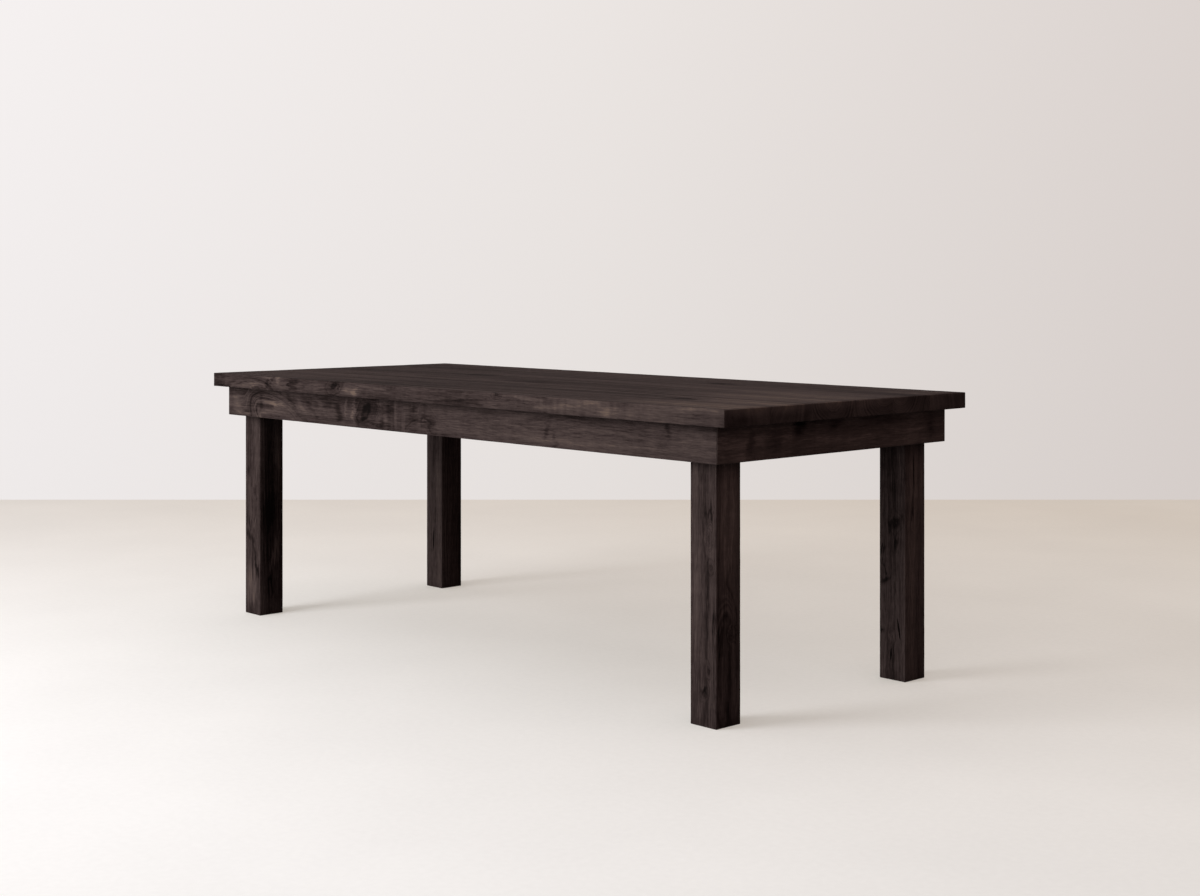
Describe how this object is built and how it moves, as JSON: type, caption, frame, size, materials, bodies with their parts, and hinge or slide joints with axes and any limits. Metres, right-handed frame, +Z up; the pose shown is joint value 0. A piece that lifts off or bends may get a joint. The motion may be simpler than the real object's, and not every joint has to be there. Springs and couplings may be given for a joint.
{
  "type": "dining table",
  "caption": "Rectangular farmhouse dining table: thick dark-stained plank top on a mitred apron frame, with plain square legs bolted inside its corners.",
  "frame": {"origin": "on the floor under the middle of the top", "axes": "+X along the table's length, +Y across it away from the front long side, +Z up"},
  "size_m": [2.22, 0.94, 0.762],
  "materials": {
    "top_wood": "dark espresso stain on knotty wood, satin",
    "apron_wood": "dark espresso stain on knotty wood, satin",
    "leg_wood": "dark espresso stain on knotty wood, satin",
    "brace_wood": "dark espresso stain, matt",
    "tongue_wood": "plain beech, unfinished",
    "steel": "bright zinc plate"
  },
  "bodies": {
    "root": {"top_plank_1": "top_wood", "top_plank_2": "top_wood", "top_plank_3": "top_wood", "top_plank_4": "top_wood", "top_plank_5": "top_wood", "top_plank_6": "top_wood", "top_tongue_1": "tongue_wood", "top_tongue_2": "tongue_wood", "top_tongue_3": "tongue_wood", "top_tongue_4": "tongue_wood", "top_tongue_5": "tongue_wood", "apron_front": "apron_wood", "apron_right": "apron_wood", "apron_back": "apron_wood", "apron_left": "apron_wood", "mitre_key_front_left": "tongue_wood", "mitre_key_front_right": "tongue_wood", "mitre_key_back_right": "tongue_wood", "mitre_key_back_left": "tongue_wood", "leg_front_left": "leg_wood", "leg_front_right": "leg_wood", "leg_back_right": "leg_wood", "leg_back_left": "leg_wood", "cross_brace_1": "brace_wood", "cross_brace_2": "brace_wood", "corner_block_front_left": "brace_wood", "corner_block_front_right": "brace_wood", "corner_block_back_right": "brace_wood", "corner_block_back_left": "brace_wood", "hanger_bolt_front_left_lower": "steel", "hanger_bolt_front_left_upper": "steel", "hanger_bolt_front_right_lower": "steel", "hanger_bolt_front_right_upper": "steel", "hanger_bolt_back_right_lower": "steel", "hanger_bolt_back_right_upper": "steel", "hanger_bolt_back_left_lower": "steel", "hanger_bolt_back_left_upper": "steel", "flange_nut_front_left_lower": "steel", "flange_nut_front_left_upper": "steel", "flange_nut_front_right_lower": "steel", "flange_nut_front_right_upper": "steel", "flange_nut_back_right_lower": "steel", "flange_nut_back_right_upper": "steel", "flange_nut_back_left_lower": "steel", "flange_nut_back_left_upper": "steel", "top_clip_1": "steel", "top_clip_2": "steel", "top_clip_3": "steel", "top_clip_4": "steel", "top_clip_5": "steel", "top_clip_6": "steel", "clip_screw_1": "steel", "clip_screw_2": "steel", "clip_screw_3": "steel", "clip_screw_4": "steel", "clip_screw_5": "steel", "clip_screw_6": "steel"}
  },
  "joints": []
}
